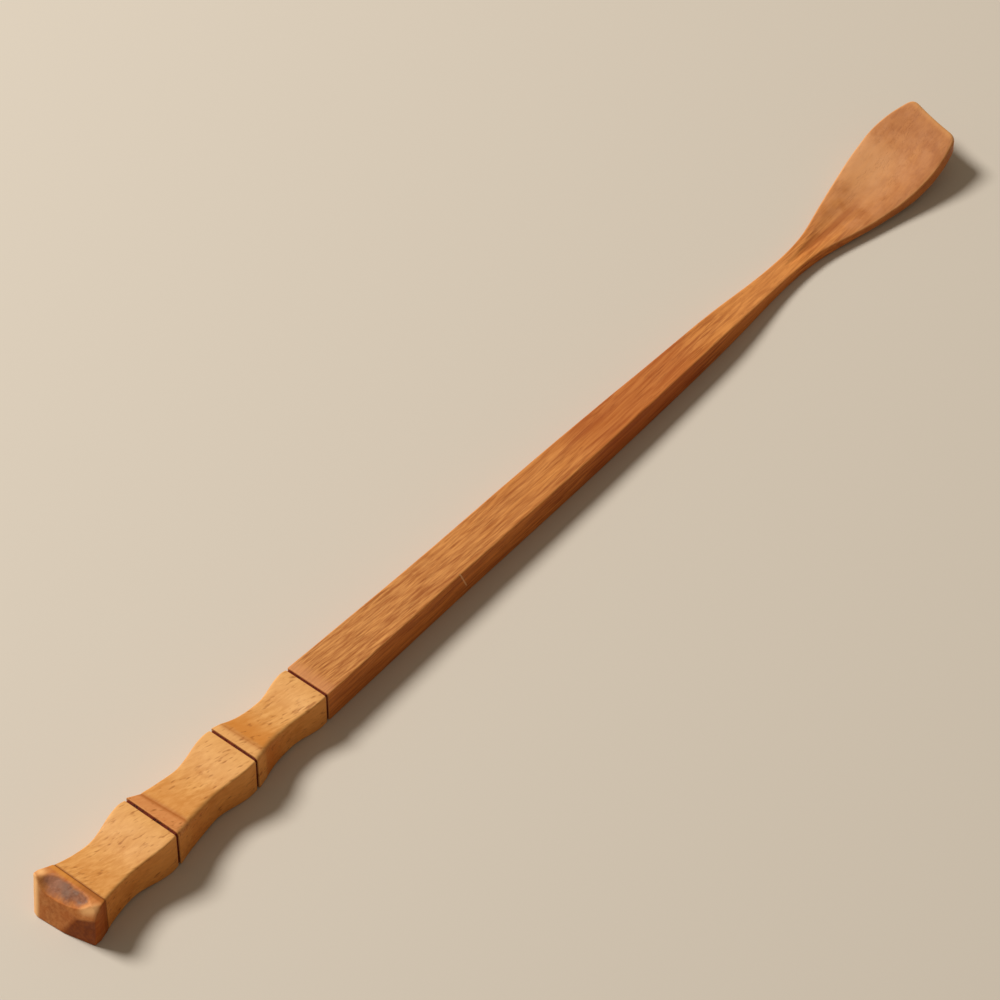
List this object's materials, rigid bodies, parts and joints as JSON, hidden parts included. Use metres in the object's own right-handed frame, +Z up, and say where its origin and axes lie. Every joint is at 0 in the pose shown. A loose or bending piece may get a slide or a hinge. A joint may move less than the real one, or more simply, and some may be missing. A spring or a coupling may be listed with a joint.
{
  "type": "tea scoop",
  "caption": "Slim carved wooden tea scoop: square waisted handle with dark spacer lines and a faceted butt, long tapering stem and a flat curled blade.",
  "frame": {"origin": "under the middle of the whole scoop, in the plane that it lies on", "axes": "+X along the scoop from the butt towards the tip of the blade, +Z up as it lies on its flat underside, +Y to the far side"},
  "size_m": [0.1804, 0.012, 0.0064],
  "materials": {
    "stem_wood": "oiled, satin, fine long grain",
    "handle_wood": "oiled, satin, short grain flecks",
    "cap_wood": "oiled, knife-cut facets with rough end grain",
    "spacer_wood": "dark, matt",
    "dowel_wood": "plain, split bamboo"
  },
  "bodies": {
    "root": {"blade_and_stem": "stem_wood", "upper_segment": "handle_wood", "middle_segment": "handle_wood", "lower_segment": "handle_wood", "butt_cap": "cap_wood", "upper_spacer": "spacer_wood", "middle_spacer": "spacer_wood", "lower_spacer": "spacer_wood", "core_dowel": "dowel_wood"}
  },
  "joints": []
}
